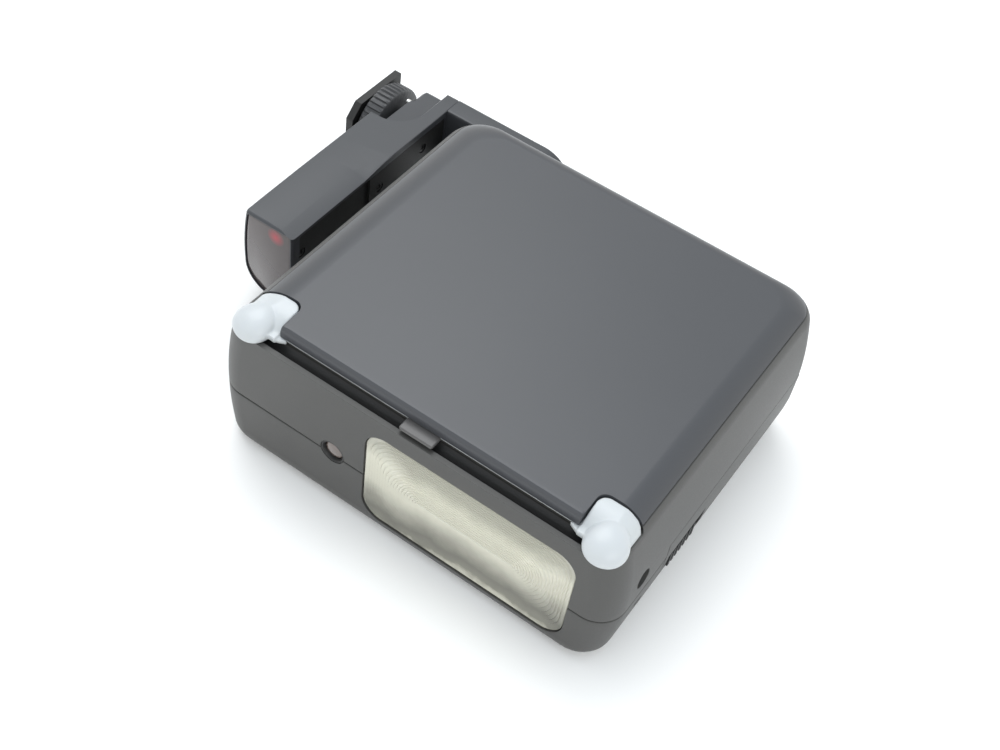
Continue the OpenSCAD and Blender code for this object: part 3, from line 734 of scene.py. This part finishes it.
def buildWheel():
    # radius drops between ribs: R - depth * smooth pulse(ribs * angle), eased at both rims;
    # the last ring repeats the first, so the section closes on itself
    low, high = span("lock_wheel")
    centre = (low + high)[1:] / 2
    outer, edge = (high - low)[1] / 2, wheel["edge"]
    count = wheel["ribs"] * wheel["perRib"]
    turn = np.linspace(0, 2 * math.pi, count, endpoint=False)
    pulse = 1 / (1 + np.exp(wheel["steep"] * (np.cos(turn * wheel["ribs"]) - wheel["share"])))
    circle = unitCircle(count)
    rings, places = [], []
    profile = [(wheel["bore"], low[0], 0), (outer - 3.4, low[0], 0), (outer - 3.0, low[0] + 0.5, 0),
               (outer - 1.8, low[0] + 0.5, 0), (outer - edge, low[0], 0), (outer - 0.35, low[0] + 0.25, 0.3),
               (outer, low[0] + edge, 1), (outer, high[0] - edge, 1),
               (outer - 0.35, high[0] - 0.25, 0.3), (outer - edge, high[0], 0), (wheel["bore"], high[0], 0)]
    for radius, x, cut in profile:
        rings.append(circle * (radius - wheel["depth"] * cut * pulse)[:, None] + centre)
        places.append(x)
    rings.append(rings[0])
    places.append(places[0])
    return stack("lockWheel", rings, places, "x", closeEnds=False)


addPiece(buildWheel(), "wheel", "black_plastic", finish["wheel"], "lock_wheel")


def screwHead(name, centre, radius, face, axis="x", thick=0.8, sign=1):
    # a low domed head with a cross recess; sign is the way it faces along the axis
    dome = [(radius * (0.25 + 0.75 * math.cos(a)), face - sign * 0.25 * (1 - math.sin(a)))
            for a in np.radians(np.linspace(0, 90, 7))]
    profile = [(radius, face - sign * thick), *dome, (0.01, face)]
    head = lathe(name, profile, centre, axis, 32)
    deep = sorted([face - sign * 0.35, face + sign * 1.0])
    arms = []
    for a, b in [(radius * 0.62, 0.16), (0.16, radius * 0.62)]:
        low, high = [0, 0, 0], [0, 0, 0]
        along = "xyz".index(axis)
        low[along], high[along] = deep
        for i, half, mid in zip([i for i in range(3) if i != along], (a, b), centre):
            low[i], high[i] = mid - half, mid + half
        arms.append(block("cutCross", low, high, 0, axis))
    return carve(head, arms)


coverScrewAt = [(38, 20), (66, 21), (83, 22)]              # the first of each kind stands in for its node
for number, (y, z) in enumerate(coverScrewAt):
    face = arm["inner"] - (0.62 if y < 62 else 0.05)
    head = screwHead("coverScrew%d" % number, (y, z), 1.2, face - 0.05)
    addPiece(head, "foot_unit", "steel", finish["darkScrew"], *["cover_screws"][number:])
for number, p in enumerate(shellScrewAt):
    head = screwHead("shellScrew%d" % number, p, 1.85, 1.0, "z", -1.1, -1)
    addPiece(head, "head", "steel", finish["darkScrew"], *["shell_screws"][number:])
print("bracket built")

# small parts of the head

ring = lathe("sensorRing", [(2.36, 1.9), (2.36, 0.5), (2.6, 0.12), (2.95, 0.12), (2.98, 0.3), (2.98, 1.9),
                            (2.36, 1.9)], sensorAt, "y", 48)
addPiece(ring, "head", "black_plastic", finish["black"], "sensor_bezel")
t = np.radians(np.linspace(0, 90, 8))
dome = lathe("sensorWindow", [(2.28, 1.9)] + [(2.28 * math.cos(a) + 0.01, 1.0 - 0.6 * math.sin(a)) for a in t],
             sensorAt, "y", 48)
addPiece(dome, "head", "sensor_glass", finish["sensor"], "sensor_window")


keyFlange = 0.7                                         # hidden rim around a key, inside the panel
switchKnob = {"x": (77.2, 81.2), "z": (9.6, 12.4)}


def keyCap(node, body, slotName, mat, radius):
    # the cap is its node's box less the flange, and the switch's cap is the knob alone, with eased edges
    low, high = span(node)
    if node == "power_switch":
        (left, right), (foot, roof) = switchKnob["x"], switchKnob["z"]
        low, high = np.array([left, low[1], foot]), np.array([right, high[1], roof])
    else:
        low, high = low + [keyFlange, 0, keyFlange], high - [keyFlange, 0, keyFlange]
    mid, half = (low + high)[[0, 2]] / 2, (high - low)[[0, 2]] / 2
    back, face = low[1] + 0.1, high[1]
    insets = [0, 0, 0.08, 0.3, 0.7, 1.4]
    places = [back, face - 0.5, face - 0.2, face - 0.05, face, face - 0.12]
    rings = [softRing(half[0] - d, half[1] - d, max(radius - d, 0.05), 8) + mid for d in insets]
    addPiece(stack(node + "Cap", rings, places, "y"), body, slotName, mat, node)


for node, body in [("mode_button", "mode_key"), ("zoom_button", "zoom_key"), ("select_button", "select_key"),
                   ("light_button", "light_key")]:
    keyCap(node, body, "key_plastic", finish["key"], 1.2)
keyCap("test_button", "test_key", "test_plastic", finish["test"], 3.45)
keyCap("power_switch", "switch", "key_plastic", finish["key"], 0.8)

displayFace = span("lcd_module")[1][1]
barLift = 0.06                                          # how far the bars stand proud of the display


def digit(name, x, z, w, h, lit):
    # seven bars in the usual order: top, upper right, lower right, foot, lower left, upper left, middle
    t = 0.55
    spots = [(x, z + h, w, t), (x + w, z + h / 2, t, h / 2), (x + w, z, t, h / 2), (x, z, w, t),
             (x, z, t, h / 2), (x, z + h / 2, t, h / 2), (x, z + h / 2, w, t)]
    parts = []
    for number, (bx, bz, bw, bh) in enumerate(spots):
        if lit[number]:
            corner = (bx + bw, displayFace + barLift, bz + bh)
            parts.append(block(name + str(number), (bx, displayFace, bz), corner, 0, "y"))
    return parts


bars = []
for k, x in enumerate([59.5, 53.5]):
    bars += digit("figure%d_" % k, x, 23.2, 2.8, 5.0, [1, 1, 1, 1, 1, 1, 1 - k])
for k in range(5):
    low = (42.5 + 1.6 * k, displayFace, 22.4)
    high = (43.3 + 1.6 * k, displayFace + barLift, 23.2 + 0.25 * k)
    bars.append(block("scale%d" % k, low, high, 0, "y"))
for bar in bars:
    addPiece(bar, "head", "sensor_body", finish["ink"])

for k, x in enumerate([41, 51, 61, 71]):
    mark = block("keyMark%d" % k, (x - 1.2, headD - 0.02, 14.6), (x + 1.2, headD + 0.03, 15.1), 0.1, "y")
    addPiece(mark, "head", "key_plastic", finish["mark"])
print("head's small parts built")

# finishes of the parts that keep their own shape

keptFinish = {
    "shell": ["battery_door"], "mirror": ["reflector"], "tube": ["flash_tube"],
    "black": ["zoom_carriage", "side_socket", "battery_tray", "hinge_block", "inner_cover", "door_latch",
              "shoe_foot"],
    "panel": ["back_panel"],
    "steel": ["lead_screw", "zoom_motor", "door_pin", "swivel_washer", "swivel_nut", "swivel_shaft", "tilt_pin",
              "stop_pin", "lock_pin"],
    "display": ["light_sensor", "lcd_module"], "sleeve": ["main_capacitor"],
    "board": ["main_board", "switch_board", "lamp_board"], "copper": ["transformer"], "cell": ["battery_cells"],
    "gold": ["cell_contacts", "shoe_contacts"], "glass": ["lcd_window"],
    "lampRed": ["ready_lamp", "assist_lamp"],
}
for key, names in keptFinish.items():
    for name in names:
        finishNode(name, finish[key])
print("finishes set")

# floor, light and camera

studio = {"floor": 3.0, "sky": 1.08, "horizon": (1, 0.97, 0.91), "zenith": (0.80, 0.875, 0.94),
          "lamps": [("keyLight", (-0.35, 0.25, 0.9), 0.7, 5.0), ("fillLight", (0.7, -0.5, 0.6), 0.6, 2.0)],
          "aim": (0, 0, 0.02), "camera": (136.0, -140.0, 254.5), "right": (0.8167, 0.5661, 0.112),
          "back": (0.2949, -0.5767, 0.762), "lens": 51.4}


def buildStudio():
    half = studio["floor"] / 2
    mesh = bpy.data.meshes.new("floor")
    corners = [(-half, -half, 0), (half, -half, 0), (half, half, 0), (-half, half, 0)]
    mesh.from_pydata(corners, [], [(0, 1, 2, 3)])
    floor = bpy.data.objects.new("floor", mesh)
    bpy.context.scene.collection.objects.link(floor)
    wear(floor, material("paleFloor", (0.97, 0.97, 0.965), 0.75, 0.05, 2.0, 0.01, 200.0))
    world = bpy.data.worlds.new("studio")
    world.use_nodes = True
    nodes, links = world.node_tree.nodes, world.node_tree.links
    coord = nodes.new("ShaderNodeTexCoord")
    split = nodes.new("ShaderNodeSeparateXYZ")
    ramp = nodes.new("ShaderNodeValToRGB")
    links.new(coord.outputs["Generated"], split.inputs["Vector"])
    links.new(split.outputs["Z"], ramp.inputs["Fac"])
    ramp.color_ramp.elements[0].color = (*studio["horizon"], 1)
    ramp.color_ramp.elements[1].color = (*studio["zenith"], 1)
    links.new(ramp.outputs["Color"], nodes["Background"].inputs[0])
    nodes["Background"].inputs[1].default_value = studio["sky"]
    bpy.context.scene.world = world
    for name, at, size, power in studio["lamps"]:
        lamp = bpy.data.lights.new(name, "AREA")
        lamp.size = size
        lamp.energy = power
        obj = bpy.data.objects.new(name, lamp)
        obj.location = at
        obj.rotation_euler = (Vector(studio["aim"]) - Vector(at)).to_track_quat("-Z", "Y").to_euler()
        bpy.context.scene.collection.objects.link(obj)


def buildCamera():
    data = bpy.data.cameras.new("camera")
    data.lens = studio["lens"]
    data.sensor_width = 36
    data.clip_start = 0.01
    camera = bpy.data.objects.new("camera", data)
    right = Vector(studio["right"]).normalized()
    back = Vector(studio["back"]).normalized()
    up = back.cross(right).normalized()
    right = up.cross(back)
    turned = Matrix((right, up, back)).transposed().to_4x4()
    camera.matrix_world = Matrix.Translation(Vector(place(studio["camera"]))) @ turned
    bpy.context.scene.collection.objects.link(camera)
    bpy.context.scene.camera = camera


buildStudio()
buildCamera()
bpy.context.scene.view_settings.view_transform = "Standard"

print("scene ready")
